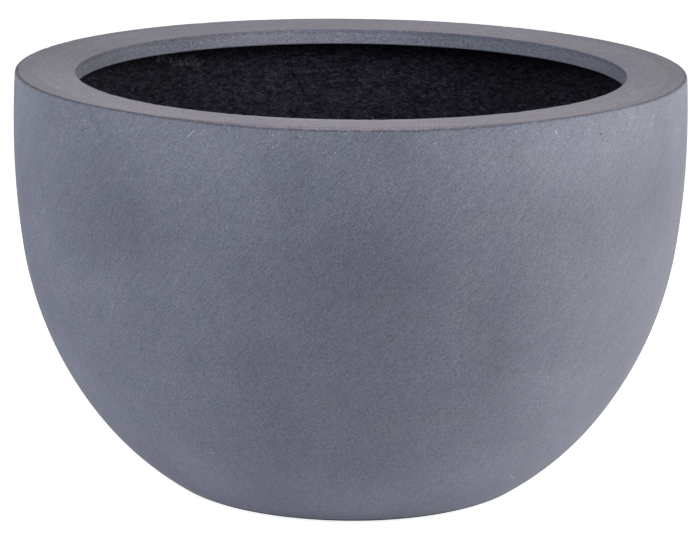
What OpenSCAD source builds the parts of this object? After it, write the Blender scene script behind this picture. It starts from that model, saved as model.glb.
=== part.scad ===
// Round bowl planter: a grey fibre-cement shell with a flat rim and an edge that turns down round the
// mouth, a rough black laminate laid up inside it, and a rubber plug in the drain hole.
// The origin is the centre of the base, where it stands on the floor, and +Z is up.

/* [Bowl] */
// Widest diameter of the bowl
bowl_d = 600; // [500:5:720]
// Height from the floor to the outer edge of the rim
bowl_h = 370; // [300:2:450]
// Diameter of the flat base, before its edge is rounded
base_d = 333; // [260:1:400]
// Depth of the widest place below the outer edge of the rim
widest_drop = 60; // [35:1:90]
// How far the outer edge of the rim draws in from the widest place, on each side
rim_lean = 2; // [1:0.5:12]

/* [Curve of the wall] */
// Turn where the upper wall's arc ends, as a share of the turn of one arc from the widest place to the base
upper_turn = 0.155; // [0.05:0.005:0.3]
// Turn where the belly's arc ends, as the same share
belly_turn = 0.8; // [0.5:0.01:0.95]
// Turn where the foot's arc meets the base, as the same share
foot_turn = 1.2; // [1.1:0.01:1.3]
// Radius of the upper wall's arc, in radii of the belly's arc
upper_flatness = 2.2; // [1:0.1:4]

/* [Walls] */
// Thickness of the shell
shell_t = 8; // [5:0.5:12]
// Thickness of the lining
lining_t = 5; // [2:0.5:8]

/* [Rim] */
// Width of the rim, from its outer edge to the mouth
rim_w = 53; // [40:1:80]
// Fall of the rim's top from its outer edge to the mouth
rim_fall = 3; // [0:0.5:8]
// How far the turned-down edge reaches below the lining
lip_cover = 2; // [0:0.5:15]

/* [Edges] */
// Radius of the rim's outer edge
rim_edge_r = 2.5; // [0.5:0.5:5]
// Radius of the mouth's upper edge
mouth_edge_r = 1; // [0.5:0.5:4]
// Radius of the two lower edges of the turned-down edge
lip_edge_r = 1.5; // [0.5:0.5:2]
// Radius of the edge of the base
base_edge_r = 4; // [1:0.5:10]
// Radius between the lining's floor and its wall
floor_corner_r = 20; // [5:1:40]
// Radius between the lining's wall and the underside of the rim
rim_corner_r = 10; // [3:1:15]

/* [Drain] */
// Diameter of the drain hole
drain_d = 25; // [16:1:40]
// Gap round the plug's sealing ribs
plug_gap = 0.07; // [0.02:0.01:0.1]
// Height of the sealing ribs above the plug's stem
rib_h = 1.2; // [0.6:0.1:2]
// Width of one sealing rib where it leaves the stem
rib_w = 2.4; // [1:0.1:3]
// Number of sealing ribs
rib_count = 3; // [1:1:3]
// Height of the plug's end above the floor
plug_lift = 2; // [0.5:0.5:4]
// Wall of the plug's hollow stem
stem_wall = 2.5; // [1.5:0.5:4]
// How far the plug's flange reaches over the lining round the hole
flange_reach = 8; // [4:1:15]
// Thickness of the plug's flange
flange_t = 3; // [2:0.5:5]
// Radius of the flange's upper edge
flange_edge_r = 1; // [0.5:0.1:1.5]
// Diameter of the plug's knob
knob_d = 18; // [14:1:24]
// Thickness of the knob
knob_t = 7; // [5:0.5:10]
// Radius of the knob's edges
knob_edge_r = 2.5; // [1:0.5:2.5]
// Diameter of the neck under the knob
neck_d = 11; // [6:0.5:12]
// Height of the neck
neck_h = 6; // [3:0.5:12]

/* [Hidden] */

// Longest chord of a large arc, largest step of a small one, and sides of a full turn
chord = 9;
corner_step = 15;
turn_sides = 180;

widest = [bowl_d / 2, bowl_h - widest_drop];
rim_r = bowl_d / 2 - rim_lean;
mouth_r = rim_r - rim_w;
drain_r = drain_d / 2;
inner_t = shell_t + lining_t;
rim_slope = atan(rim_fall / rim_w);

// Height of a line under the rim's top, at a radius and a depth square to the top
function under_rim(radius, depth) =
    bowl_h - rim_fall * (rim_r - radius) / rim_w - depth / cos(rim_slope);

function polar(centre, radius, angle) = centre + radius * [cos(angle), sin(angle)];

function angle_from(centre, point) = atan2(point[1] - centre[1], point[0] - centre[0]);

function backwards(points) = [for (i = [len(points) - 1:-1:0]) points[i]];

// Points of an arc without its last one, where the next arc starts
function arc(centre, radius, from, to) =
    let (
        sweep = abs(to - from),
        steps = max(ceil(sweep / corner_step), ceil(sweep * PI / 180 * radius / chord))
    )
    [for (i = [0:steps - 1]) polar(centre, radius, from + (to - from) * i / steps)];

// Where a line through a point, at an angle, leaves a circle
function leaves_circle(point, angle, centre, radius) =
    let (
        along = [cos(angle), sin(angle)],
        offset = point - centre,
        middle = offset * along
    )
    point + (sqrt(middle * middle - offset * offset + radius * radius) - middle) * along;

// Above the widest place, one arc leans in to the outer edge of the rim.
lean_r = (widest_drop * widest_drop + rim_lean * rim_lean) / (2 * rim_lean);
lean_centre = widest - [lean_r, 0];

// Below it, three arcs run into one another: the upper wall, the belly and the foot. Their turns are
// shares of the turn that one arc would make, and their radii follow from the drop and the draw-in.
draw_in = (bowl_d - base_d) / 2;
plain_turn = 2 * atan(draw_in / widest[1]);
upper_end = upper_turn * plain_turn;
belly_end = belly_turn * plain_turn;
foot_end = foot_turn * plain_turn;
belly_drop = upper_flatness * sin(upper_end) + sin(belly_end) - sin(upper_end);
belly_draw = upper_flatness * (1 - cos(upper_end)) + cos(upper_end) - cos(belly_end);
foot_drop = sin(foot_end) - sin(belly_end);
foot_draw = cos(belly_end) - cos(foot_end);
shared = belly_drop * foot_draw - belly_draw * foot_drop;
belly_r = (widest[1] * foot_draw - draw_in * foot_drop) / shared;
foot_r = (draw_in * belly_drop - widest[1] * belly_draw) / shared;
upper_r = upper_flatness * belly_r;
upper_centre = widest - [upper_r, 0];
belly_centre = polar(upper_centre, upper_r - belly_r, -upper_end);
foot_centre = polar(belly_centre, belly_r - foot_r, -belly_end);

// The line of the bowl at a depth inside its outline, from its floor to the underside of its top, with
// a rounded corner at each end
function bowl_line(inset, floor_r, top_r) =
    let (
        floor_corner = leaves_circle([0, inset + floor_r], 0, foot_centre, foot_r - inset - floor_r),
        floor_angle = angle_from(foot_centre, floor_corner),
        top_corner = leaves_circle(
            [0, under_rim(0, inset + top_r)], rim_slope, lean_centre, lean_r - inset - top_r),
        top_angle = angle_from(lean_centre, top_corner)
    )
    concat(
        arc(floor_corner, floor_r, -90, floor_angle),
        arc(foot_centre, foot_r - inset, floor_angle, -belly_end),
        arc(belly_centre, belly_r - inset, -belly_end, -upper_end),
        arc(upper_centre, upper_r - inset, -upper_end, 0),
        arc(lean_centre, lean_r - inset, 0, top_angle),
        arc(top_corner, top_r, top_angle, 90 + rim_slope),
        [polar(top_corner, top_r, 90 + rim_slope)]
    );

// The face that the shell and the lining share
bond_line = bowl_line(shell_t, floor_corner_r + lining_t, rim_corner_r + lining_t);
lip_back_r = mouth_r + shell_t;
lip_foot = under_rim(mouth_r, inner_t + lip_cover);

module revolved(points) rotate_extrude($fn = turn_sides) polygon(points);

module shell() {
    mouth_corner = [mouth_r + mouth_edge_r, under_rim(mouth_r + mouth_edge_r, mouth_edge_r)];
    lip_front = [mouth_r + lip_edge_r, lip_foot + lip_edge_r];
    lip_back = [lip_back_r - lip_edge_r, lip_foot + lip_edge_r];
    color([0.42, 0.44, 0.49])
        revolved(concat(
            [[drain_r, 0]],
            bowl_line(0, base_edge_r, rim_edge_r),
            arc(mouth_corner, mouth_edge_r, 90 + rim_slope, 180),
            [mouth_corner - [mouth_edge_r, 0]],
            arc(lip_front, lip_edge_r, 180, 270),
            [lip_front - [0, lip_edge_r]],
            arc(lip_back, lip_edge_r, 270, 360),
            [lip_back + [lip_edge_r, 0], [lip_back_r, under_rim(lip_back_r, shell_t)]],
            backwards(bond_line),
            [[drain_r, shell_t]]
        ));
}

module lining() {
    color([0.1, 0.1, 0.12])
        revolved(concat(
            [[drain_r, shell_t]],
            bond_line,
            [for (depth = [shell_t, inner_t]) [lip_back_r, under_rim(lip_back_r, depth)]],
            backwards(bowl_line(inner_t, floor_corner_r, rim_corner_r)),
            [[drain_r, inner_t]]
        ));
}

module drain_plug() {
    stem_r = drain_r - plug_gap - rib_h;
    hollow_r = stem_r - stem_wall;
    rib_pitch = (inner_t - plug_lift) / rib_count;
    flange_r = drain_r + flange_reach;
    flange_top = inner_t + flange_t;
    tip_w = rib_w / 4;
    knob_foot = flange_top + neck_h;
    knob_side = knob_d / 2 - knob_edge_r;
    color([0.14, 0.14, 0.14])
        revolved(concat(
            [[0, inner_t], [hollow_r, inner_t], [hollow_r, plug_lift], [stem_r, plug_lift]],
            [for (i = [0:rib_count - 1], side = [[0, -rib_w], [rib_h, -tip_w], [rib_h, tip_w], [0, rib_w]])
                [stem_r + side[0], plug_lift + (i + 0.5) * rib_pitch + side[1] / 2]],
            [[stem_r, inner_t], [flange_r, inner_t]],
            arc([flange_r - flange_edge_r, flange_top - flange_edge_r], flange_edge_r, 0, 90),
            [[flange_r - flange_edge_r, flange_top], [neck_d / 2, flange_top], [neck_d / 2, knob_foot]],
            arc([knob_side, knob_foot + knob_edge_r], knob_edge_r, 270, 360),
            arc([knob_side, knob_foot + knob_t - knob_edge_r], knob_edge_r, 0, 90),
            [[knob_side, knob_foot + knob_t], [0, knob_foot + knob_t]]
        ));
}

shell();
lining();
drain_plug();
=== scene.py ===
"""The looks of a bowl planter: a grey cement shell, a rough black lining and a rubber drain plug.

All lengths are in metres. The bowl stands on the floor at z = 0, with its axis on the z axis.
"""
import math
from bisect import bisect_right
from functools import reduce
from types import SimpleNamespace

import bmesh
import bpy
from bpy.props import FloatProperty, FloatVectorProperty, IntProperty, PointerProperty
from mathutils import Matrix, Vector


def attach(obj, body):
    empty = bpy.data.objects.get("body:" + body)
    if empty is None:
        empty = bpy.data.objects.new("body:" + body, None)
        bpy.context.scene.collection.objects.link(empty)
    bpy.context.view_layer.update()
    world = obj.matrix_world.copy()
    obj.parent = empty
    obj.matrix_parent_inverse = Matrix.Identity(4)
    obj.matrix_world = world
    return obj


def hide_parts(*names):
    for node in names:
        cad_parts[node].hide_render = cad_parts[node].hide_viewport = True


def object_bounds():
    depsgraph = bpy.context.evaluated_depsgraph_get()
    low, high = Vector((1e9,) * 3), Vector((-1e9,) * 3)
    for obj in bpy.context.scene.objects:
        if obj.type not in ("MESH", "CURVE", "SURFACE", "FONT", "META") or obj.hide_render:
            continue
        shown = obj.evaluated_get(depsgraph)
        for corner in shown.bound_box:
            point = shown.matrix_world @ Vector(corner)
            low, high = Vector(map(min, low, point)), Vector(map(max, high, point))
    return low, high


bl_info = {
    "name": "Bowl Planter",
    "version": (1, 0, 0),
    "blender": (4, 5, 0),
    "location": "View3D > Sidebar > Planter",
    "description": "Turns the sections of a cement bowl planter and finishes their surfaces",
    "category": "Add Mesh",
}

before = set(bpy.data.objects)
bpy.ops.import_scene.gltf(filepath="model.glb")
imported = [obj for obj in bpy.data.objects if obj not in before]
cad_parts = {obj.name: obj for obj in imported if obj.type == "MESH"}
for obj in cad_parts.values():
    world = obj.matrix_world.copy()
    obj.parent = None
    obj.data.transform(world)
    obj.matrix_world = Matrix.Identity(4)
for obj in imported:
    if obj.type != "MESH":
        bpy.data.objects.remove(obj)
cad_box = [list(corner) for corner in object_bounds()]

MM = 0.001
TOP = cad_box[1][2]

# Turns between two lines of a section: less than the first is one straight line, more than the second
# is a corner
STRAIGHT = math.radians(0.3)
CORNER = math.radians(40)
# How round the edges of the cement and the lining are, and those of the rubber
EASED = 0.8 * MM
MOULDED = 0.3 * MM
# Distance along the shell's section from the rim's outer edge to its edge round the mouth
MOUTH_EDGE = 52.5 * MM

# Marks on the cement. Each is its two ends, or the middle of a round one, and its half width in
# millimetres. A place is an angle in degrees to the right of the front, and a distance in millimetres
# along the section from the rim's outer edge, inwards over the rim or, below 0, down the wall.
SAND_GRAINS = (
    ((39.6, -5.2), 0.8), ((51, -9.2), 0.8), ((60.8, -13.2), 0.7), ((26, -6.7), 0.9),
    ((33.3, -9.6), (33.5, -11.6), 0.8), ((-7.6, -7.3), 0.9), ((-23.3, -7.2), 0.8), ((36.6, -224.3), 0.7))
NICKS = (
    ((-70.1, 26.8), (-69.3, 29.9), 0.9), ((-12.8, 23.6), (-11.8, 22.5), 1.1),
    ((-8.4, 6.5), (-7.8, 5.3), 1), ((-47.4, -21.8), 1.3), ((42.8, -17.7), 1.5), ((173.3, 37.8), 1.2),
    ((-14.8, -240.6), 1.1))
SCRATCHES = (
    ((-25.9, -13.8), (-24.7, -7.5), 0.7), ((40.3, -346.6), (43.9, -358), 0.6),
    ((-29, -306.2), (-28.1, -306.7), 0.7))
SMEARS = (((-45.6, -3.5), (-43, -20.2), 3.5), ((37.2, -205.3), (36.7, -223.5), 1))
RUBBED = (
    ((66.5, 40.8), (85.1, 40), 2.5), ((68.2, 35.9), (61.5, 29), 2), ((-85, 11.3), (-63.5, 22), 1.5),
    ((-63.5, 22), (-53.1, 21), 1.5))

# Soft pale and dark patches on the wall, in the same form: partly clouds in the pigment, partly painted
# light and painted shade, with painted shade down the middle of the front
PALE_CLOUDS_AND_PAINTED_LIGHT = (
    ((-17.5, -20), (-14.5, -50), 81), ((21.5, -18), (36.5, -24), 78), ((38, -251), (53.5, -313), 78),
    ((-60, -261), (-57, -276), 78), ((-60, -154), (-62, -135), 58), ((-34.5, -337), (-33.5, -340), 65),
    ((-42.5, -162), (-42, -155), 32), ((30, -344), (34, -318), 52))
DARK_CLOUDS_AND_PAINTED_SHADE = (
    ((-45.5, -28), (-39.5, -65), 81), ((62.5, -20), (60.5, -62), 78), ((4, -100), (4, -276), 104),
    ((71, -4), (74.5, -50), 75), ((-9, -35), (-9, -58), 39), ((-14.5, -206), (-11.5, -290), 55),
    ((22.5, -154), (24.5, -185), 52), ((5, -8), (5.5, -18), 39), ((-55, -8), (-46.5, -11), 45))

# Marks on the lining, in the same form, along its own section
DRY_PLACES = (((-139.5, 85.1), (-144.8, 88.1), 5), ((-143.5, 89.1), (-148.4, 92.1), 7))
PALE_SPOTS = (((-138.1, 105), 1.5), ((-169.3, 112.1), (-170.1, 113.1), 2))
CREASES = (
    ((-168.2, 105.8), (-171, 131.4), 1.3), ((-167.6, 144.2), (-169.4, 152.5), 1.1),
    ((-166.7, 91.1), (-168.2, 105.8), 0.6))

# Lamps. A far lamp is (name, azimuth to the right of the camera's side, height and spread in degrees,
# strength), and a soft box is (name, place, side, watts, tint).
FAR_LAMPS = (
    ("upper_lamp", -30, 50, 50, 0.73), ("front_lamp", 0, 12, 50, 0.53), ("right_lamp", 50, 25, 50, 0.55),
    ("left_lamp", -80, 12, 50, 0.58))
SOFT_BOXES = (
    ("right_box", (1.3, -0.1, 0.5), 0.8, 10.5, (1.07, 1, 0.87)),
    ("left_box", (-1.3, -0.1, 0.5), 0.8, 3.0, (1, 1, 1)))
LAMP_TARGET = Vector((0, 0, 0.25))

# Sections of the CAD nodes. A point of a section is (radius, height, freedom), where freedom is 0 on a
# face that is bonded to another piece and 1 on a free face.


def section(node):
    """The outline of a node to the right of the axis, counterclockwise from its lowest inner corner."""
    cut = bmesh.new()
    cut.from_mesh(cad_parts[node].data)
    bmesh.ops.remove_doubles(cut, verts=cut.verts, dist=0.005 * MM)
    for normal, keep_front in (((0, 1, 0), False), ((1, 0, 0), True)):
        bmesh.ops.bisect_plane(
            cut, geom=cut.verts[:] + cut.edges[:] + cut.faces[:], dist=0.005 * MM, plane_co=(0, 0, 0),
            plane_no=normal, clear_inner=True, clear_outer=not keep_front)
    ends = [vert for vert in cut.verts if len(vert.link_edges) == 1]
    start = min(ends or cut.verts, key=lambda vert: (round(vert.co.z, 6), vert.co.x))
    path = [start]
    edge = start.link_edges[0]
    while edge:
        path.append(edge.other_vert(path[-1]))
        onward = [other for other in path[-1].link_edges if other != edge]
        edge = onward[0] if onward and path[-1] != start else None
    points = [Vector((vert.co.x, vert.co.z, 1)) for vert in path]
    cut.free()
    area = sum(a.x * b.y - b.x * a.y for a, b in zip(points, points[1:]))
    return without_straights(points if area > 0 else points[::-1])


def turn(before, point, after):
    """How far the outline turns at a point."""
    return (point - before).xy.angle((after - point).xy, 0)


def without_straights(points):
    """Leaves out the points that lie on a straight line between their neighbours."""
    kept = points[:1]
    for point, after in zip(points[1:], points[2:]):
        if turn(kept[-1], point, after) > STRAIGHT:
            kept.append(point)
    return kept + points[-1:]


def bonded(points, others):
    """Marks the points that another section shares."""
    return [
        Vector((*point.xy, 0 if any((point - other).xy.length < 0.01 * MM for other in others) else 1))
        for point in points
    ]


def rounded(points, radius):
    """Rounds the sharp corners of an outline."""
    closed = (points[0] - points[-1]).xy.length < 0.01 * MM
    ring = points[:-1] if closed else points
    result = []
    for i, point in enumerate(ring):
        before, after = ring[i - 1], ring[(i + 1) % len(ring)]
        at_end = not closed and i in (0, len(ring) - 1)
        if at_end or turn(before, point, after) < CORNER:
            result.append(point)
            continue
        reach = radius * math.tan(turn(before, point, after) / 2)
        start = point.lerp(before, min(reach / (before - point).xy.length, 0.45))
        end = point.lerp(after, min(reach / (after - point).xy.length, 0.45))
        for share in (0, 0.3, 0.7, 1):
            result.append(start.lerp(point, share).lerp(point.lerp(end, share), share))
    return result + result[:1] if closed else result


def refined(points, free_step, bonded_step, fine_above=-1):
    """Splits the long lines of an outline, most finely those of its free faces above a height."""
    result = points[:1]
    for before, point in zip(points, points[1:]):
        free = before.z + point.z > 1
        fine = max(before.y, point.y) > fine_above
        step = bonded_step if not free else free_step if fine else 3 * free_step
        parts = math.ceil((point - before).xy.length / step)
        result += [before.lerp(point, i / parts) for i in range(1, parts + 1)]
    return result


def distances_along(points):
    """Distance of each point along the outline from its outermost upper edge, positive beyond it."""
    lengths = [0]
    for before, point in zip(points, points[1:]):
        lengths.append(lengths[-1] + (point - before).xy.length)
    edge = max(range(len(points)), key=lambda i: points[i].x + points[i].y)
    return [length - lengths[edge] for length in lengths]


def spot(points, angle, distance):
    """The place on a turned piece at an angle from its front and a distance along its outline."""
    along = distances_along(points)
    i = min(bisect_right(along, distance * MM), len(points) - 1) - 1
    share = (distance * MM - along[i]) / (along[i + 1] - along[i])
    point = points[i].lerp(points[i + 1], share)
    turned = math.radians(angle)
    return Vector((point.x * math.sin(turned), -point.x * math.cos(turned), point.y))


def outline_mesh(points, attributes):
    """A line of edges through the points, in the plane of x and z, with a number for each point."""
    mesh = bpy.data.meshes.new("outline")
    mesh.from_pydata([(point.x, 0, point.y) for point in points],
                     [(i, i + 1) for i in range(len(points) - 1)], [])
    for name, values in attributes.items():
        mesh.attributes.new(name, "FLOAT", "POINT").data.foreach_set("value", values)
    return mesh


# Node helpers, for both geometry and materials


def add_node(tree, kind, settings=None, inputs=None):
    """Adds a node, sets its properties, and sets or links its inputs by name or number."""
    node = tree.nodes.new(kind)
    for name, value in (settings or {}).items():
        setattr(node, name, value)
    for key, value in (inputs or {}).items():
        if isinstance(value, bpy.types.NodeSocket):
            tree.links.new(value, node.inputs[key])
        else:
            node.inputs[key].default_value = value
    return node


def calc(tree, operation, *values):
    """One step of arithmetic on numbers or sockets."""
    return add_node(tree, "ShaderNodeMath", {"operation": operation}, dict(enumerate(values))).outputs[0]


def calc_vector(tree, operation, *values):
    """One step of arithmetic on vectors."""
    return add_node(
        tree, "ShaderNodeVectorMath", {"operation": operation}, dict(enumerate(values))).outputs[0]


def measured(tree, operation, *values):
    """One number that is worked out from vectors."""
    return add_node(tree, "ShaderNodeVectorMath", {"operation": operation},
                    dict(enumerate(values))).outputs["Value"]


def scale_vector(tree, vector, factor):
    """A vector times a number."""
    node = add_node(tree, "ShaderNodeVectorMath", {"operation": "SCALE"}, {0: vector, "Scale": factor})
    return node.outputs[0]


def ramp(tree, value, start, end, low=0, high=1):
    """Runs from low at the start to high at the end, and stays level beyond them."""
    inputs = {"Value": value, "From Min": start, "From Max": end, "To Min": low, "To Max": high}
    return add_node(tree, "ShaderNodeMapRange", {"interpolation_type": "SMOOTHSTEP"}, inputs).outputs[0]


def noise(tree, vector, size, detail=2.0, rough=0.5):
    """Cloudy noise between 0 and 1, with blotches of about the given size."""
    inputs = {"Vector": vector, "Scale": size_to_scale(tree, size), "Detail": detail, "Roughness": rough}
    return add_node(tree, "ShaderNodeTexNoise", {}, inputs).outputs[0]


def noise_vector(tree, vector, size):
    """Three separate noises in one vector, each between 0 and 1."""
    return add_node(tree, "ShaderNodeTexNoise", {}, {
        "Vector": vector, "Scale": 1 / size, "Detail": 2.0}).outputs[1]


def product(tree, *values):
    """Multiplies numbers or masks."""
    return reduce(lambda first, second: calc(tree, "MULTIPLY", first, second), values)


def largest(tree, *values):
    """The largest of some numbers or masks at each point."""
    return reduce(lambda first, second: calc(tree, "MAXIMUM", first, second), values)


def stretched(tree, place, *factors):
    """A place for a pattern, stretched along x, y and z. A factor below 1 makes the pattern longer."""
    return calc_vector(tree, "MULTIPLY", place, factors)


def moved(tree, place, *distances):
    """A place for a pattern, moved so that the pattern differs from another of its kind."""
    return calc_vector(tree, "ADD", place, distances)


def wandering(tree, place, size, reach):
    """A place for a pattern, bent to and fro by noise of a size, by up to half the reach."""
    drift = calc_vector(tree, "SUBTRACT", noise_vector(tree, place, size), (0.5, 0.5, 0.5))
    return calc_vector(tree, "ADD", place, scale_vector(tree, drift, reach))


def scale_number(tree, value, factor, offset=0):
    """A number times a factor, plus an offset."""
    inputs = {0: value, 1: factor, 2: offset}
    return add_node(tree, "ShaderNodeMath", {"operation": "MULTIPLY_ADD"}, inputs).outputs[0]


def size_to_scale(tree, size):
    """The scale of a texture whose pattern repeats at about the given size."""
    return calc(tree, "DIVIDE", 1.0, size) if isinstance(size, bpy.types.NodeSocket) else 1 / size


# Turned surfaces


def add_inputs(tree, sockets):
    """Gives a geometry tree its named inputs and its output, and returns the inputs by name."""
    for name, kind, default in sockets:
        socket = tree.interface.new_socket(name, in_out="INPUT", socket_type="NodeSocket" + kind)
        if default is not None:
            socket.default_value = default
    tree.interface.new_socket("Geometry", in_out="OUTPUT", socket_type="NodeSocketGeometry")
    return tree.nodes.new("NodeGroupInput").outputs


def named_number(tree, name):
    """Reads a number that the mesh carries."""
    return add_node(tree, "GeometryNodeInputNamedAttribute", {}, {"Name": name}).outputs[0]


def finish_tree(tree, geometry, material):
    """Ends a tree with plain geometry in one material."""
    real = add_node(tree, "GeometryNodeRealizeInstances", {}, {"Geometry": geometry})
    shown = add_node(tree, "GeometryNodeSetMaterial", {},
                     {"Geometry": real.outputs[0], "Material": material})
    add_node(tree, "NodeGroupOutput", {}, {"Geometry": shown.outputs[0]})


def turned_surface_tree():
    """Turns an outline round the z axis, then raises waves and lumps on it and chips its edges."""
    tree = bpy.data.node_groups.new("Turned surface", "GeometryNodeTree")
    given = add_inputs(tree, (
        ("Outline", "Geometry", None), ("Sides", "Int", 360), ("Wave height", "Float", 0.0),
        ("Wave size", "Float", 0.15), ("Lump height", "Float", 0.0), ("Lump size", "Float", 0.012),
        ("Chip depth", "Float", 0.0), ("Chip size", "Float", 0.007), ("Material", "Material", None)))
    outline = given["Outline"]
    rows = add_node(tree, "GeometryNodeAttributeDomainSize", {}, {"Geometry": outline}).outputs[0]
    columns = calc(tree, "ADD", given["Sides"], 1.0)
    grid = add_node(tree, "GeometryNodeMeshGrid", {}, {"Vertices X": columns, "Vertices Y": rows})
    index = tree.nodes.new("GeometryNodeInputIndex").outputs[0]
    row = calc(tree, "MODULO", index, rows)
    column = calc(tree, "FLOOR", calc(tree, "DIVIDE", index, rows))
    angle = calc(tree, "MULTIPLY", calc(tree, "DIVIDE", column, given["Sides"]), math.tau)

    def of_outline(value, kind):
        inputs = {"Geometry": outline, "Value": value, "Index": row}
        return add_node(tree, "GeometryNodeSampleIndex", {"data_type": kind}, inputs).outputs[0]

    position = tree.nodes.new("GeometryNodeInputPosition").outputs[0]
    flat = add_node(tree, "ShaderNodeSeparateXYZ", {}, {0: of_outline(position, "FLOAT_VECTOR")})
    turned = add_node(tree, "ShaderNodeCombineXYZ", {}, {
        "X": calc(tree, "MULTIPLY", flat.outputs["X"], calc(tree, "COSINE", angle)),
        "Y": calc(tree, "MULTIPLY", flat.outputs["X"], calc(tree, "SINE", angle)),
        "Z": flat.outputs["Z"]})
    surface = grid.outputs[0]
    for name in ("along", "wave", "lump", "edge"):
        surface = add_node(tree, "GeometryNodeStoreNamedAttribute", {"data_type": "FLOAT"}, {
            "Geometry": surface, "Name": name, "Value": of_outline(named_number(tree, name), "FLOAT"),
        }).outputs[0]
    surface = add_node(tree, "GeometryNodeSetPosition", {},
                       {"Geometry": surface, "Position": turned.outputs[0]}).outputs[0]
    surface = add_node(tree, "GeometryNodeMergeByDistance", {},
                       {"Geometry": surface, "Distance": 0.003 * MM}).outputs[0]

    def relief(share, height, size, detail):
        cloud = calc(tree, "SUBTRACT", noise(tree, position, given[size], detail), 0.5)
        return calc(tree, "MULTIPLY", calc(tree, "MULTIPLY", cloud, given[height]),
                    calc(tree, "MULTIPLY", named_number(tree, share), 2.0))

    chipped = ramp(tree, noise(tree, position, given["Chip size"], 1.0), 0.56, 0.68)
    chips = calc(tree, "MULTIPLY", calc(tree, "MULTIPLY", chipped, given["Chip depth"]),
                 named_number(tree, "edge"))
    waves = relief("wave", "Wave height", "Wave size", 1.0)
    lumps = relief("lump", "Lump height", "Lump size", 3.0)
    height = calc(tree, "SUBTRACT", calc(tree, "ADD", waves, lumps), chips)
    normal = tree.nodes.new("GeometryNodeInputNormal").outputs[0]
    surface = add_node(tree, "GeometryNodeSetPosition", {}, {
        "Geometry": surface, "Offset": scale_vector(tree, normal, height)}).outputs[0]
    bend = tree.nodes.new("GeometryNodeInputMeshEdgeAngle").outputs[0]
    hard = add_node(tree, "FunctionNodeCompare", {"operation": "GREATER_THAN"}, {0: bend, 1: 0.9})
    surface = add_node(tree, "GeometryNodeSetShadeSmooth", {"domain": "EDGE"}, {
        "Geometry": surface, "Selection": hard.outputs[0], "Shade Smooth": False}).outputs[0]
    finish_tree(tree, surface, given["Material"])
    return tree


def strands_tree():
    """Scatters short strands over a surface, lays each of them along it and gives it its thickness."""
    tree = bpy.data.node_groups.new("Loose strands", "GeometryNodeTree")
    given = add_inputs(tree, (
        ("Surface", "Geometry", None), ("Density", "Float", 6000.0), ("Length", "Float", 0.03),
        ("Radius", "Float", 0.0004), ("Bend", "Float", 0.008), ("Seed", "Int", 5),
        ("Material", "Material", None)))
    surface = given["Surface"]
    rough = add_node(tree, "FunctionNodeCompare", {"operation": "GREATER_THAN"},
                     {0: named_number(tree, "lump"), 1: 0.5}).outputs[0]
    scattered = add_node(tree, "GeometryNodeDistributePointsOnFaces", {}, {
        "Mesh": surface, "Selection": rough, "Density": given["Density"], "Seed": given["Seed"]}).outputs

    def at_random(low, high):
        return add_node(tree, "FunctionNodeRandomValue", {"data_type": "FLOAT"},
                        {2: low, 3: high, 8: given["Seed"]}).outputs[1]

    spin = add_node(tree, "FunctionNodeAxisAngleToRotation", {}, {
        "Axis": (0, 0, 1), "Angle": at_random(0.0, math.tau)}).outputs[0]
    turned = add_node(tree, "FunctionNodeRotateRotation", {"rotation_space": "LOCAL"}, {
        "Rotation": scattered["Rotation"], "Rotate By": spin}).outputs[0]
    line = add_node(tree, "GeometryNodeCurvePrimitiveLine", {}, {"Start": (-0.5, 0, 0), "End": (0.5, 0, 0)})
    strand = add_node(tree, "GeometryNodeResampleCurve", {}, {"Curve": line.outputs[0], "Count": 4})
    placed = add_node(tree, "GeometryNodeInstanceOnPoints", {}, {
        "Points": scattered["Points"], "Instance": strand.outputs[0], "Rotation": turned,
        "Scale": scale_vector(tree, (1, 1, 1), calc(
            tree, "MULTIPLY", given["Length"], at_random(0.35, 1.0)))})
    loose = add_node(tree, "GeometryNodeRealizeInstances", {}, {"Geometry": placed.outputs[0]})
    position = tree.nodes.new("GeometryNodeInputPosition").outputs[0]
    drift = calc_vector(tree, "SUBTRACT", noise_vector(tree, position, 0.02), (0.5, 0.5, 0.5))
    bent = add_node(tree, "GeometryNodeSetPosition", {}, {
        "Geometry": loose.outputs[0], "Offset": scale_vector(tree, drift, given["Bend"])})

    def of_surface(value):
        return add_node(tree, "GeometryNodeSampleNearestSurface", {"data_type": "FLOAT_VECTOR"}, {
            "Mesh": surface, "Value": value, "Sample Position": position}).outputs[0]

    raised = scale_vector(tree, of_surface(tree.nodes.new("GeometryNodeInputNormal").outputs[0]),
                          calc(tree, "MULTIPLY", given["Radius"], 0.3))
    laid = add_node(tree, "GeometryNodeSetPosition", {}, {
        "Geometry": bent.outputs[0], "Position": calc_vector(tree, "ADD", of_surface(position), raised)})
    factor = tree.nodes.new("GeometryNodeSplineParameter").outputs["Factor"]
    from_middle = calc(tree, "ABSOLUTE", scale_number(tree, factor, 2, -1))
    thickness = calc(tree, "MULTIPLY", given["Radius"], ramp(tree, from_middle, 0.5, 1.0, 1.0, 0.35))
    profile = add_node(tree, "GeometryNodeCurvePrimitiveCircle", {}, {"Resolution": 3, "Radius": 1.0})
    tubes = add_node(tree, "GeometryNodeCurveToMesh", {}, {
        "Curve": laid.outputs[0], "Profile Curve": profile.outputs[0], "Scale": thickness,
        "Fill Caps": True})
    finish_tree(tree, tubes.outputs[0], given["Material"])
    return tree


def made_by(name, mesh, tree, values):
    """Runs a geometry tree on a mesh and returns an object with the plain result."""
    piece = bpy.data.objects.new(name, mesh)
    bpy.context.scene.collection.objects.link(piece)
    modifier = piece.modifiers.new(tree.name, "NODES")
    modifier.node_group = tree
    for item in tree.interface.items_tree:
        if item.in_out == "INPUT" and item.name in values:
            modifier[item.identifier] = values[item.name]
    evaluated = piece.evaluated_get(bpy.context.evaluated_depsgraph_get())
    result = bpy.data.meshes.new_from_object(evaluated)
    piece.modifiers.clear()
    piece.data = result
    result.name = name
    return piece


# Materials


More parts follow.
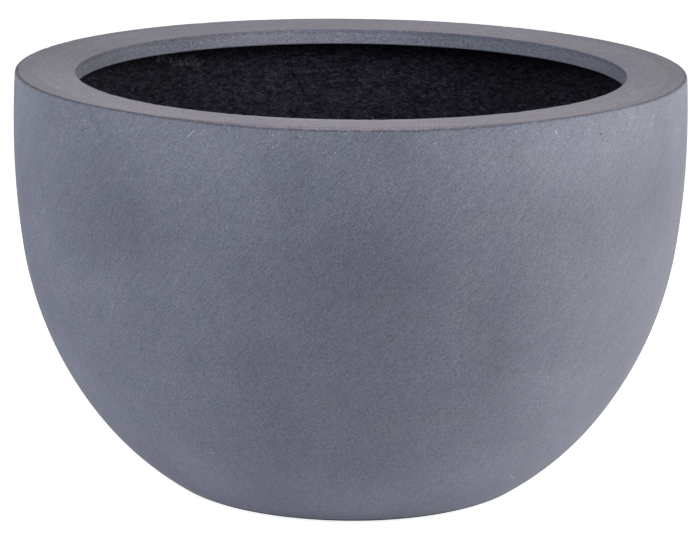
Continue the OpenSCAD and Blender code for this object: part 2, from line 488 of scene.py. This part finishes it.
def new_material(name):
    """An empty material, with its node tree, its output and the coordinates of the object."""
    material = bpy.data.materials.new(name)
    material.use_nodes = True
    tree = material.node_tree
    tree.nodes.clear()
    place = tree.nodes.new("ShaderNodeTexCoord").outputs["Object"]
    return material, tree, place


def number(tree, name):
    """Reads a number that the mesh carries, in a material."""
    return add_node(tree, "ShaderNodeAttribute", {"attribute_name": name}).outputs["Fac"]


def mixed(tree, share, first, second):
    """Runs from the first colour to the second."""
    inputs = {0: share, 6: first, 7: second}
    for key in (6, 7):
        if not isinstance(inputs[key], bpy.types.NodeSocket):
            inputs[key] = (*inputs[key], 1)[:4]
    return add_node(tree, "ShaderNodeMix", {"data_type": "RGBA"}, inputs).outputs[2]


def tinted(tree, colour, share, low, high):
    """Multiplies a colour by a shade that runs from low to high."""
    return calc_vector(tree, "MULTIPLY", colour, mixed(tree, share, low, high))


def shaded(tree, colour, share, high, low=1.0):
    """Multiplies a colour by an even shade, which runs from low to high."""
    return tinted(tree, colour, share, (low,) * 3, (high,) * 3)


def specks(tree, place, spacing, radius, share):
    """A mask of round grains: their usual spacing, their radius, and how many of them there are."""
    cells = add_node(tree, "ShaderNodeTexVoronoi", {}, {"Vector": place, "Scale": 1 / spacing})
    chosen = calc(tree, "LESS_THAN", add_node(
        tree, "ShaderNodeSeparateColor", {}, {0: cells.outputs["Color"]}).outputs[0], share)
    size = radius / spacing
    return calc(tree, "MULTIPLY", ramp(tree, cells.outputs["Distance"], size, 0.5 * size), chosen)


def strokes(tree, place, points, marks, squash=(1, 1, 1), core=0.4):
    """A mask of short marks on a turned piece, each full over the core share of its width."""
    total = 0.0
    place = calc_vector(tree, "MULTIPLY", place, squash)
    for *ends, half_width in marks:
        start, end = (spot(points, *where) * Vector(squash) for where in (ends[0], ends[-1]))
        away = calc_vector(tree, "SUBTRACT", place, start)
        reach = end - start
        nearest = (0, 0, 0)
        if reach.length:
            run = calc(tree, "DIVIDE", measured(tree, "DOT_PRODUCT", away, reach), reach.length_squared)
            share = calc(tree, "MINIMUM", calc(tree, "MAXIMUM", run, 0.0), 1.0)
            nearest = scale_vector(tree, reach, share)
        off = measured(tree, "DISTANCE", away, nearest)
        total = calc(tree, "MAXIMUM", total, ramp(tree, off, half_width * MM, core * half_width * MM))
    return total


def finish_material(tree, colour, rough, height, reflection):
    """Joins colour, roughness and relief in one shader."""
    bump = add_node(tree, "ShaderNodeBump", {}, {"Strength": 1.0, "Distance": 1.0, "Height": height})
    shader = add_node(tree, "ShaderNodeBsdfPrincipled", {}, {
        "Base Color": colour, "Roughness": rough, "Specular IOR Level": reflection,
        "Normal": bump.outputs[0]})
    add_node(tree, "ShaderNodeOutputMaterial", {}, {"Surface": shader.outputs[0]})


def shell_zones(tree, place):
    """Where a point of the shell lies, and masks of its wall, its rim and its turned-down edge.

    The dark line between wall and rim lies lower at the front than at the sides.
    """
    along = number(tree, "along")
    parts = add_node(tree, "ShaderNodeSeparateXYZ", {}, {0: place}).outputs
    level = add_node(tree, "ShaderNodeCombineXYZ", {}, {"X": parts["X"], "Y": parts["Y"]}).outputs[0]
    direction = calc_vector(tree, "NORMALIZE", level)
    towards = add_node(tree, "ShaderNodeSeparateXYZ", {}, {0: direction}).outputs
    sideways = calc(tree, "ABSOLUTE", towards["X"])
    wander = scale_number(tree, noise(tree, place, 20 * MM, 4.0, 0.7), 2 * MM, -1 * MM)
    border_line_along = calc(tree, "ADD", ramp(tree, sideways, 0.1, 0.8, -2.1 * MM, 1.6 * MM), wander)
    past_line = calc(tree, "SUBTRACT", along, border_line_along)
    return SimpleNamespace(
        place=place, along=along, radius=measured(tree, "LENGTH", level), height=parts["Z"],
        direction=direction, right=towards["X"], back=towards["Y"], sideways=sideways,
        wander=wander, past_line=past_line,
        on_wall=ramp(tree, past_line, 0.3 * MM, -0.6 * MM),
        on_rim=product(tree, ramp(tree, past_line, -0.3 * MM, 0.9 * MM),
                       ramp(tree, along, MOUTH_EDGE + 0.5 * MM, MOUTH_EDGE - 0.3 * MM)),
        on_lip=ramp(tree, along, MOUTH_EDGE, MOUTH_EDGE + 0.8 * MM),
        lip_in_view=ramp(tree, measured(tree, "DOT_PRODUCT", direction, (-0.17, 0.985, 0)), 0.85, 1.0))


def cement_colour(tree, cement, at):
    """The wall pales towards the top with painted light, the rim is warmer, with a painted sheen at the
    front and painted light at the back, and the turned-down edge is paler, with painted light at the back,
    and ledged.
    """
    front = ramp(tree, measured(tree, "DOT_PRODUCT", at.direction, (-0.2, -0.98, 0)), -0.2, 0.98)
    # Painted light: the upper wall is made paler towards the rim
    upper = ramp(tree, at.height, TOP - 110 * MM, TOP - 5 * MM)
    wall = tinted(tree, cement.wall_colour, upper, (1, 1, 1), (1.2, 1.2, 1.19))
    # Painted sheen: the rim is made paler towards the front, and on the next line paler towards the back as
    # painted light
    rim = tinted(tree, cement.rim_colour, front, (0.93, 0.93, 0.93), (1.49, 1.48, 1.49))
    rim = shaded(tree, rim, ramp(tree, at.back, 0.3, 1.0), 1.27)
    # The mask named worn is a painted sheen on the inner part of the rim at the front
    worn = product(tree, ramp(tree, at.along, MOUTH_EDGE - 24.5 * MM, MOUTH_EDGE - 4.5 * MM),
                   ramp(tree, at.back, -0.9, -1.0))
    rim = shaded(tree, rim, worn, 1.14)
    colour = mixed(tree, at.on_rim, wall, rim)
    # Painted light: the turned-down edge is made paler still at the back, where it faces the front
    lip_paleness_with_painted_light = mixed(tree, at.lip_in_view, (1.24, 1.25, 1.22), (1.76, 1.7, 1.66))
    colour = tinted(tree, colour, at.on_lip, (1, 1, 1), lip_paleness_with_painted_light)
    ledges = noise(tree, calc_vector(
        tree, "ADD", scale_vector(tree, at.direction, 5.0), stretched(tree, at.place, 0, 0, 400)), 1.0)
    ledged = product(tree, ramp(tree, ledges, 0.3, 0.7), at.on_lip)
    return tinted(tree, colour, ledged, (1, 1, 1), (0.88, 0.88, 0.89))


def cement_clouds(tree, colour, at, points):
    """Clouds in the cement, pale and dark patches that are partly painted light and painted shade, and
    fainter tints where the pigment is uneven.
    """
    clouds = ramp(tree, noise(tree, at.place, 110 * MM, 5.0, 0.6), 0.3, 0.7)
    colour = tinted(tree, colour, clouds, (0.93, 0.93, 0.935), (1.07, 1.07, 1.065))
    tints = ramp(tree, noise(tree, at.place, 28 * MM, 2.0, 0.6), 0.3, 0.7)
    colour = tinted(tree, colour, tints, (0.991, 1.0, 1.015), (1.009, 1.0, 0.988))
    drifting = wandering(tree, at.place, 40 * MM, 30 * MM)
    # The pale patches are partly painted light and the dark ones partly painted shade
    for marks, shade in ((PALE_CLOUDS_AND_PAINTED_LIGHT, (1.13, 1.13, 1.12)), (DARK_CLOUDS_AND_PAINTED_SHADE, (0.85, 0.85, 0.86))):
        cloud = product(tree, strokes(tree, drifting, points, marks, core=0), at.on_wall)
        colour = tinted(tree, colour, cloud, (1, 1, 1), shade)
    flush = product(tree, ramp(tree, noise(tree, at.place, 35 * MM, 3.0), 0.35, 0.68), at.on_rim)
    return tinted(tree, colour, flush, (0.99, 1, 1.005), (1.035, 0.99, 0.985))


def cement_grain(tree, colour, cement, at):
    """Speckles the colour with sanding marks, and returns it with the grain that it follows.

    The marks run up to the right on the wall, and round the rim.
    """
    slant = calc(tree, "MULTIPLY", at.height, -cement.sanding_slant)
    unwound = add_node(tree, "ShaderNodeVectorRotate", {"rotation_type": "Z_AXIS"},
                       {"Vector": at.place, "Angle": slant}).outputs[0]
    sanding = noise(tree, stretched(tree, unwound, 1, 1, 0.32), cement.grain_size, 2.0, 0.6)
    grit = noise(tree, at.place, 0.8 * cement.grain_size, 1.0)
    outwards = scale_number(tree, at.radius, 300)
    rings = add_node(tree, "ShaderNodeCombineXYZ", {}, {"Z": outwards}).outputs[0]
    ringed = noise(tree, calc_vector(tree, "ADD", scale_vector(tree, at.direction, 14.0), rings), 1.0)
    grain = mixed(tree, at.on_rim, mixed(tree, 0.62, sanding, grit), mixed(tree, 0.16, grit, ringed))
    grain = mixed(tree, at.on_lip, grain, grit)

    swaths = noise(tree, stretched(tree, unwound, 1, 1, 0.22), 4 * cement.grain_size)
    colour = shaded(tree, colour, product(tree, ramp(tree, swaths, 0.3, 0.7), at.on_wall), 1.035, 0.965)
    on_wall, on_rim, on_lip = ramp(tree, at.right, 0.3, 0.9, 0.285, 0.2), (0.34,) * 3, (0.36,) * 3
    strength = mixed(tree, at.on_lip, mixed(tree, at.on_rim, on_wall, on_rim), on_lip)
    swing = scale_number(tree, ramp(tree, grain, 0.28, 0.72), 2, -1)
    speckled = calc_vector(tree, "ADD", (1, 1, 1), scale_vector(tree, strength, swing))
    return calc_vector(tree, "MULTIPLY", colour, speckled), grain


def cement_borders(tree, colour, at):
    """The line between wall and rim is dark, with a band of painted shade behind it on the rim that is
    wider at the sides.

    The upper part of the turned-down edge is darkened with painted shade too, and the foot where the bowl
    meets the floor with a painted contact shadow.
    """
    line_width = ramp(tree, at.sideways, 0.05, 0.4, 1.3 * MM, 2.3 * MM)
    from_line = calc(tree, "DIVIDE", calc(tree, "ABSOLUTE", at.past_line), line_width)
    broken = ramp(tree, noise(tree, at.place, 8 * MM, 3.0), 0.3, 0.5, 0.35, 1)
    dark_line = product(tree, ramp(tree, from_line, 1.0, 0.25), broken,
                        ramp(tree, at.right, 0.2, 0.6, 1.0, 0.7))
    colour = shaded(tree, colour, dark_line, 0.58)
    # Painted shade on the rounded top of the turned-down edge, just past the mouth
    painted_shade_under_mouth = product(
        tree, at.on_lip, ramp(tree, at.along, MOUTH_EDGE + 5 * MM, MOUTH_EDGE + 2 * MM))
    colour = tinted(tree, colour, painted_shade_under_mouth, (1, 1, 1), (0.82, 0.82, 0.84))
    # Painted shade: the outer band of the rim is darkened at the sides (the mask named dull)
    band_end = calc(tree, "ADD", ramp(tree, at.sideways, 0.5, 0.95, 2 * MM, 16 * MM),
                    scale_number(tree, at.wander, 3))
    past_band = calc(tree, "SUBTRACT", at.along, band_end)
    dull = product(tree, at.on_rim, ramp(tree, past_band, 3 * MM, -1 * MM))
    colour = tinted(tree, colour, dull, (1, 1, 1), (0.86, 0.86, 0.87))
    # Painted contact shadow: the lowest few millimetres of the wall are made nearly black
    foot = product(tree, at.on_wall, ramp(tree, at.height, 3.4 * MM, 1.4 * MM))
    return shaded(tree, colour, foot, 0.12), dark_line


def bare_sand(tree, at, points):
    """A mask of bare grains of sand, thick under the rim and on the turned-down edge."""
    under_rim = product(
        tree, specks(tree, at.place, 2.6 * MM, 0.8 * MM, 0.3),
        ramp(tree, at.height, TOP - 40 * MM, TOP - 8 * MM, 0.15, 1), ramp(tree, at.on_rim, 0, 1, 1, 0.12),
        ramp(tree, noise(tree, at.place, 22 * MM), 0.4, 0.62, 0.12, 1),
        ramp(tree, noise(tree, at.place, 4 * MM), 0.35, 0.65, 0.35, 1.3))
    on_lip = product(
        tree, specks(tree, moved(tree, at.place, 0.2, 0.3, 0.1), 3.4 * MM, 0.9 * MM, 0.4), at.on_lip,
        ramp(tree, at.lip_in_view, 0, 1, 0.5, 1))
    fine = specks(tree, moved(tree, at.place, 0.1, 0.4, 0.3), 3.2 * MM, 0.7 * MM, 0.2)
    return largest(tree, under_rim, on_lip, strokes(tree, at.place, points, SAND_GRAINS),
                   scale_number(tree, fine, 0.28))


def cement_material(cement, points):
    """Pigmented cement: cloudy and finely sanded on a slant, with a smoother taupe rim."""
    material, tree, place = new_material("sanded_cement")
    at = shell_zones(tree, place)
    colour = cement_colour(tree, cement, at)
    colour = cement_clouds(tree, colour, at, points)
    colour, grain = cement_grain(tree, colour, cement, at)
    colour, dark_line = cement_borders(tree, colour, at)

    # Bare sand, and small open pores and nicks darkened with painted shade, the pores fewer low on the wall
    bare = scale_number(tree, bare_sand(tree, at, points), 0.75)
    colour = mixed(tree, bare, colour, cement.sand_colour)
    pores = product(tree, specks(tree, moved(tree, place, 0.3, 0.1, 0.2), 4.5 * MM, 0.8 * MM, 0.3),
                    ramp(tree, at.height, TOP - 70 * MM, TOP - 20 * MM, 0.3, 1))
    pores = largest(tree, pores, strokes(tree, place, points, NICKS))
    # Painted shade in the pores and nicks
    colour = tinted(tree, colour, pores, (1, 1, 1), (0.55, 0.55, 0.57))

    # Traces of handling: pale scratches, dark smears and rubbed places on the rim
    scratched = scale_number(tree, strokes(tree, place, points, SCRATCHES), 0.5)
    colour = mixed(tree, scratched, colour, cement.sand_colour)
    uneven = wandering(tree, place, 20 * MM, 4 * MM)
    smeared = strokes(tree, uneven, points, SMEARS, (1, 0.4, 1))
    colour = tinted(tree, colour, smeared, (1, 1, 1), (0.87, 0.87, 0.88))
    colour = shaded(tree, colour, strokes(tree, uneven, points, RUBBED, (1, 1, 0.3)), 1.1)

    rough = ramp(tree, at.on_rim, 0, 1, 0.85, 0.6)
    height = scale_number(tree, grain, 0.12 * MM)
    for hollow, depth in ((pores, 0.3 * MM), (dark_line, 0.2 * MM)):
        height = calc(tree, "SUBTRACT", height, scale_number(tree, hollow, depth))
    finish_material(tree, colour, rough, height, 0.35)
    return material


def laminate_material(laminate, name, clean_colour, points):
    """Black resin over glass mat: creased and lumpy, with dusty high places and a dull sheen."""
    material, tree, place = new_material(name)
    shifted = calc_vector(
        tree, "ADD", place, scale_vector(tree, noise_vector(tree, place, 10 * MM), 6 * MM))
    flattened = stretched(tree, shifted, 1, 1, 2.3)
    lumps = noise(tree, flattened, 7.5 * MM, 4.0, 0.65)
    fibres = noise(tree, flattened, 2.2 * MM, 2.0, 0.6)
    dust = noise(tree, place, 30 * MM, 4.0, 0.6)
    brown = ramp(tree, noise(tree, moved(tree, place, 0.7, 0.2, 0.4), 50 * MM), 0.58, 0.72)
    colour = mixed(tree, ramp(tree, dust, 0.3, 0.75), clean_colour, laminate.dust_colour)
    colour = mixed(tree, scale_number(tree, brown, 0.12), colour, laminate.brown_colour)
    colour = shaded(tree, colour, ramp(tree, lumps, 0.36, 0.64), 1.6, 0.42)
    colour = shaded(tree, colour, ramp(tree, fibres, 0.42, 0.72), 2.4, 0.72)

    # Painted light on the back of the lining, painted shade close under the rim, where the rim's shadow
    # falls, and painted shade on the right.
    parts = add_node(tree, "ShaderNodeSeparateXYZ", {}, {0: place}).outputs
    from_back = calc(tree, "ABSOLUTE", scale_number(tree, parts["X"], 1, 15 * MM))
    # The mask named dusty carries painted light at the back of the lining
    dusty = product(
        tree, ramp(tree, parts["Y"], 190 * MM, 250 * MM), ramp(tree, from_back, 180 * MM, 20 * MM),
        ramp(tree, parts["Z"], TOP - 120 * MM, TOP - 60 * MM, 0.1, 1))
    colour = tinted(tree, colour, dusty, (1.06, 1.06, 1.05), (2.2, 2.2, 2.1))
    # Painted shadow close under the rim, and on the next line painted shade on the right
    colour = shaded(tree, colour, ramp(tree, parts["Z"], TOP - 40 * MM, TOP - 27 * MM), 0.5)
    colour = shaded(tree, colour, ramp(tree, parts["X"], 90 * MM, 160 * MM), 0.83)

    # A place where the mat came out dry, with its strands upright and pale, pale spots, and creases
    # darkened with painted shade
    squash = (1, 0.3, 1)
    bent = wandering(tree, place, 9 * MM, 9 * MM)
    upright = ramp(tree, noise(tree, stretched(tree, bent, 1, 1, 0.35), 1.6 * MM), 0.5, 0.62)
    dry = product(tree, strokes(tree, bent, points, DRY_PLACES, squash), upright)
    colour = mixed(tree, dry, colour, laminate.dry_colour)
    pale = scale_number(tree, strokes(tree, bent, points, PALE_SPOTS, squash), 0.7)
    colour = mixed(tree, pale, colour, laminate.strand_colour)
    creases = strokes(tree, bent, points, CREASES, squash)
    # Painted shade in the creases
    colour = shaded(tree, colour, creases, 0.25)

    rough = ramp(tree, dust, 0.3, 0.7, 0.6, 0.85)
    height = calc(tree, "ADD", scale_number(tree, lumps, 4.6 * MM), scale_number(tree, fibres, 1.1 * MM))
    height = calc(tree, "SUBTRACT", height, scale_number(tree, creases, 1.5 * MM))
    finish_material(tree, colour, rough, height, 0.12)
    return material


def rubber_material(rubber):
    """Moulded black rubber with a little dust and bloom."""
    material, tree, place = new_material("moulded_rubber")
    bloom = noise(tree, place, 0.008, 4.0, 0.6)
    skin = noise(tree, place, 0.0006, 2.0)
    colour = mixed(tree, ramp(tree, bloom, 0.4, 0.75), rubber.colour, rubber.dust_colour)
    rough = ramp(tree, bloom, 0.3, 0.7, 0.5, 0.75)
    height = calc(tree, "MULTIPLY", skin, 0.00005)
    finish_material(tree, colour, rough, height, 0.5)
    return material


def floor_material(stage):
    """Pale floor that shows as white to the camera, keeps the shadows that fall on it, and glows a little
    onto the bowl though it is no lamp.
    """
    material, tree, place = new_material("studio_floor")
    shade = ramp(tree, noise(tree, place, 0.6, 2.0), 0.3, 0.7, 0.985, 1.0)
    colour = tinted(tree, (stage.floor_shade,) * 3, shade, (0, 0, 0), (1, 1, 1))
    diffuse = add_node(tree, "ShaderNodeBsdfDiffuse", {}, {"Color": colour})
    glow = add_node(tree, "ShaderNodeEmission", {}, {
        "Color": (1, 1, 1, 1),
        "Strength": ramp(tree, seen_directly(tree), 0, 1, stage.floor_light, stage.floor_glow)})
    both = add_node(tree, "ShaderNodeAddShader", {}, {0: diffuse.outputs[0], 1: glow.outputs[0]})
    add_node(tree, "ShaderNodeOutputMaterial", {}, {"Surface": both.outputs[0]})
    return material


def seen_directly(tree):
    """1 for what the camera, a reflection or a clear material shows, and 0 for light on a surface."""
    path = tree.nodes.new("ShaderNodeLightPath").outputs
    return calc(tree, "MAXIMUM", path["Is Camera Ray"],
                calc(tree, "MAXIMUM", path["Is Glossy Ray"], path["Is Transmission Ray"]))


# Settings


class PlanterCement(bpy.types.PropertyGroup):
    """Sizes and colours of the cement shell."""
    sides: IntProperty(name="Sides", description="Sides of a full turn", default=540, min=60)
    wall_colour: FloatVectorProperty(
        name="Wall colour", description="Colour of the bowl's wall", subtype="COLOR", min=0, max=1,
        default=(0.184, 0.196, 0.258))
    rim_colour: FloatVectorProperty(
        name="Rim colour", description="Colour of the smoother face of the rim", subtype="COLOR",
        min=0, max=1, default=(0.281, 0.269, 0.328))
    sand_colour: FloatVectorProperty(
        name="Sand colour", description="Colour of the bare sand grains and scratches", subtype="COLOR",
        min=0, max=1, default=(0.56, 0.585, 0.69))
    grain_size: FloatProperty(
        name="Grain size", description="Width of the sanded grain", unit="LENGTH", default=0.0014)
    sanding_slant: FloatProperty(
        name="Sanding slant", description="Turn of the sanding marks in radians for each metre of height",
        default=2.7)
    wave_height: FloatProperty(
        name="Wave height", description="Height of the wide waves left by the mould", unit="LENGTH",
        default=0.0003)
    chip_depth: FloatProperty(
        name="Chip depth", description="Depth of the worn places on the edges", unit="LENGTH",
        default=0.0004)


class PlanterLaminate(bpy.types.PropertyGroup):
    """Sizes and colours of the lining and its glass strands."""
    sides: IntProperty(name="Sides", description="Sides of a full turn", default=432, min=60)
    colour: FloatVectorProperty(
        name="Resin colour", description="Colour of the black resin", subtype="COLOR", min=0, max=1,
        default=(0.0250, 0.0240, 0.0400))
    strand_colour: FloatVectorProperty(
        name="Strand colour", description="Colour of the resin over a strand", subtype="COLOR",
        min=0, max=1, default=(0.041, 0.040, 0.057))
    dust_colour: FloatVectorProperty(
        name="Dust colour", description="Colour of the dusty places", subtype="COLOR", min=0, max=1,
        default=(0.032, 0.031, 0.050))
    brown_colour: FloatVectorProperty(
        name="Brown colour", description="Colour of the places with little pigment", subtype="COLOR",
        min=0, max=1, default=(0.035, 0.028, 0.026))
    dry_colour: FloatVectorProperty(
        name="Dry colour", description="Colour of a place where the mat took too little resin",
        subtype="COLOR", min=0, max=1, default=(0.18, 0.165, 0.195))
    lump_height: FloatProperty(
        name="Lump height", description="Height of the lumps of the hand-laid mat", unit="LENGTH",
        default=0.0016)
    lump_size: FloatProperty(
        name="Lump size", description="Width of the lumps", unit="LENGTH", default=0.012)
    strand_density: FloatProperty(
        name="Strand density", description="Loose strands on a square metre", default=3200.0)
    strand_length: FloatProperty(
        name="Strand length", description="Longest strand", unit="LENGTH", default=0.022)
    strand_radius: FloatProperty(
        name="Strand radius", description="Radius of a strand", unit="LENGTH", default=0.0004)


class PlanterRubber(bpy.types.PropertyGroup):
    """Sizes and colours of the drain plug."""
    sides: IntProperty(name="Sides", description="Sides of a full turn", default=96, min=24)
    colour: FloatVectorProperty(
        name="Rubber colour", description="Colour of the clean rubber", subtype="COLOR", min=0, max=1,
        default=(0.012, 0.012, 0.013))
    dust_colour: FloatVectorProperty(
        name="Bloom colour", description="Colour of the dusty rubber", subtype="COLOR", min=0, max=1,
        default=(0.03, 0.03, 0.03))


class PlanterStage(bpy.types.PropertyGroup):
    """The floor, the lamps and the camera."""
    floor_size: FloatProperty(
        name="Floor size", description="Side of the square floor", unit="LENGTH", default=30.0)
    floor_gap: FloatProperty(
        name="Floor gap", description="How far the floor lies below the base", unit="LENGTH",
        default=0.0005)
    floor_shade: FloatProperty(
        name="Floor shade", description="Paleness of the floor", subtype="FACTOR", min=0, max=1,
        default=0.9)
    # Floor light is a glow that the floor gives off onto the bowl, added light from a floor that is no lamp
    floor_light: FloatProperty(
        name="Floor light", description="Light that the lit floor throws up at the bowl", min=0, max=1,
        default=0.157)
    floor_glow: FloatProperty(
        name="Floor glow", description="Light that the floor adds to its own picture", min=0, max=1,
        default=0.8)
    camera_place: FloatVectorProperty(
        name="Camera place", description="Where the camera stands", subtype="XYZ", unit="LENGTH",
        default=(-0.0066, -2.339, 0.7524))
    camera_tilt: FloatProperty(
        name="Camera tilt", description="Tilt of the camera from straight down", subtype="ANGLE",
        default=math.radians(76.38))
    camera_pan: FloatProperty(
        name="Camera pan", description="Turn of the camera to the left", subtype="ANGLE",
        default=math.radians(-0.18))
    camera_roll: FloatProperty(
        name="Camera roll", description="Roll of the camera round its own line of sight",
        subtype="ANGLE", default=math.radians(0.58))
    lens: FloatProperty(
        name="Lens", description="Focal length in millimetres for a 36 mm sensor", default=136.15)


# Operators


def shell_outline():
    """The outline of the cement shell, with eased edges."""
    return rounded(bonded(section("shell"), section("lining")), EASED)


def lining_outline():
    """The outline of the lining, with eased edges."""
    return rounded(bonded(section("lining"), section("shell")), EASED)


def turned_piece(name, points, sides, material, values, worn_at=(), smooth_within=0):
    """Makes a piece by turning an outline round the z axis.

    Its edges are worn at some distances along the outline, and it has no lumps within a radius.
    """
    along = distances_along(points)
    freedom = [point.z for point in points]
    edge = [max((1 - min(abs(distance - worn) / (3 * MM), 1) for worn in worn_at), default=0)
            for distance in along]
    lump = [point.z * min(max((point.x - smooth_within) / (12 * MM), 0), 1) for point in points]
    mesh = outline_mesh(points, {"along": along, "wave": freedom, "lump": lump, "edge": edge})
    return made_by(name, mesh, turned_surface_tree(), {"Sides": sides, "Material": material, **values})


class PLANTER_OT_shell(bpy.types.Operator):
    """Makes the cement shell from its section, with soft waves and slightly worn edges"""
    bl_idname = "planter.shell"
    bl_label = "Cement Shell"

    def execute(self, context):
        cement = context.scene.planter_cement
        points = shell_outline()
        piece = turned_piece(
            "cement_shell", refined(points, 9.5 * MM, 14 * MM), cement.sides,
            cement_material(cement, points),
            {"Wave height": cement.wave_height, "Chip depth": cement.chip_depth},
            worn_at=(0, MOUTH_EDGE))
        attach(piece, "bowl")
        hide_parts("shell")
        return {"FINISHED"}


class PLANTER_OT_lining(bpy.types.Operator):
    """Makes the rough lining from its section"""
    bl_idname = "planter.lining"
    bl_label = "Laminate Lining"

    def execute(self, context):
        laminate = context.scene.planter_laminate
        points = lining_outline()
        piece = turned_piece(
            "rough_lining", refined(points, 2.5 * MM, 18 * MM, fine_above=235 * MM), laminate.sides,
            laminate_material(laminate, "black_resin", laminate.colour, points),
            {"Lump height": laminate.lump_height, "Lump size": laminate.lump_size},
            smooth_within=22 * MM)
        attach(piece, "bowl")
        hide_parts("lining")
        return {"FINISHED"}


class PLANTER_OT_strands(bpy.types.Operator):
    """Lays loose glass strands on the lining, which has to be there already"""
    bl_idname = "planter.strands"
    bl_label = "Glass Strands"

    def execute(self, context):
        laminate = context.scene.planter_laminate
        lining = bpy.data.objects["rough_lining"]
        resin = laminate_material(laminate, "resin_on_strands", laminate.strand_colour, lining_outline())
        piece = made_by("glass_fibres", lining.data.copy(), strands_tree(), {
            "Density": laminate.strand_density, "Length": laminate.strand_length,
            "Radius": laminate.strand_radius, "Material": resin})
        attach(piece, "bowl")
        return {"FINISHED"}


class PLANTER_OT_plug(bpy.types.Operator):
    """Makes the rubber drain plug from its section"""
    bl_idname = "planter.plug"
    bl_label = "Drain Plug"

    def execute(self, context):
        rubber = context.scene.planter_rubber
        points = refined(rounded(section("drain_plug"), MOULDED), 2 * MM, 2 * MM)
        piece = turned_piece("rubber_plug", points, rubber.sides, rubber_material(rubber), {})
        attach(piece, "plug")
        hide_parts("drain_plug")
        return {"FINISHED"}


class PLANTER_OT_stage(bpy.types.Operator):
    """Sets out the floor, the lamps and the camera"""
    bl_idname = "planter.stage"
    bl_label = "Studio"

    def execute(self, context):
        stage = context.scene.planter_stage
        scene = context.scene
        scene.view_settings.view_transform = "Standard"

        half = stage.floor_size / 2
        mesh = bpy.data.meshes.new("studio_floor")
        corners = ((-half, -half), (half, -half), (half, half), (-half, half))
        mesh.from_pydata([(*corner, -stage.floor_gap) for corner in corners], [], [(0, 1, 2, 3)])
        mesh.materials.append(floor_material(stage))
        floor = bpy.data.objects.new("studio_floor", mesh)
        scene.collection.objects.link(floor)

        for name, azimuth, height, spread, strength in FAR_LAMPS:
            lamp = bpy.data.lights.new(name, "SUN")
            lamp.energy = strength
            lamp.angle = math.radians(spread)
            rig = bpy.data.objects.new(name, lamp)
            rig.rotation_euler = (math.radians(90 - height), 0, math.radians(azimuth))
            scene.collection.objects.link(rig)
        for name, place, size, watts, tint in SOFT_BOXES:
            lamp = bpy.data.lights.new(name, "AREA")
            lamp.size = size
            lamp.energy = watts
            lamp.color = tint
            rig = bpy.data.objects.new(name, lamp)
            rig.location = place
            rig.rotation_euler = (LAMP_TARGET - Vector(place)).to_track_quat("-Z", "Y").to_euler()
            scene.collection.objects.link(rig)

        world = bpy.data.worlds.new("studio_room")
        world.use_nodes = True
        tree = world.node_tree
        tree.nodes.clear()
        background = add_node(tree, "ShaderNodeBackground", {}, {
            "Color": (1, 1, 1, 1), "Strength": seen_directly(tree)})
        add_node(tree, "ShaderNodeOutputWorld", {}, {"Surface": background.outputs[0]})
        scene.world = world

        lens = bpy.data.cameras.new("camera")
        lens.lens = stage.lens
        lens.clip_end = 2 * stage.floor_size
        camera = bpy.data.objects.new("camera", lens)
        camera.matrix_world = (
            Matrix.Translation(stage.camera_place) @ Matrix.Rotation(stage.camera_pan, 4, "Z")
            @ Matrix.Rotation(stage.camera_tilt, 4, "X") @ Matrix.Rotation(stage.camera_roll, 4, "Z"))
        scene.collection.objects.link(camera)
        scene.camera = camera
        return {"FINISHED"}


class PLANTER_PT_sidebar(bpy.types.Panel):
    """Lists the pieces of the planter and their settings."""
    bl_idname = "PLANTER_PT_sidebar"
    bl_label = "Bowl Planter"
    bl_space_type = "VIEW_3D"
    bl_region_type = "UI"
    bl_category = "Planter"

    def draw(self, context):
        for group, operators in PANEL_ROWS:
            box = self.layout.box()
            settings = getattr(context.scene, group)
            for name in settings.bl_rna.properties.keys():
                if name not in ("rna_type", "name"):
                    box.prop(settings, name)
            for operator in operators:
                box.operator(operator)


PANEL_ROWS = (
    ("planter_cement", ("planter.shell",)),
    ("planter_laminate", ("planter.lining", "planter.strands")),
    ("planter_rubber", ("planter.plug",)),
    ("planter_stage", ("planter.stage",)),
)
GROUPS = {
    "planter_cement": PlanterCement,
    "planter_laminate": PlanterLaminate,
    "planter_rubber": PlanterRubber,
    "planter_stage": PlanterStage,
}
OTHER_CLASSES = (
    PLANTER_OT_shell, PLANTER_OT_lining, PLANTER_OT_strands, PLANTER_OT_plug, PLANTER_OT_stage,
    PLANTER_PT_sidebar)


def register():
    for name, group in GROUPS.items():
        bpy.utils.register_class(group)
        setattr(bpy.types.Scene, name, PointerProperty(type=group))
    for cls in OTHER_CLASSES:
        bpy.utils.register_class(cls)


def unregister():
    for cls in reversed(OTHER_CLASSES):
        bpy.utils.unregister_class(cls)
    for name, group in reversed(GROUPS.items()):
        delattr(bpy.types.Scene, name)
        bpy.utils.unregister_class(group)


def main():
    """Makes the whole planter and its stage."""
    register()
    bpy.ops.planter.shell()
    bpy.ops.planter.lining()
    bpy.ops.planter.strands()
    bpy.ops.planter.plug()
    bpy.ops.planter.stage()


if __name__ == "__main__":
    main()
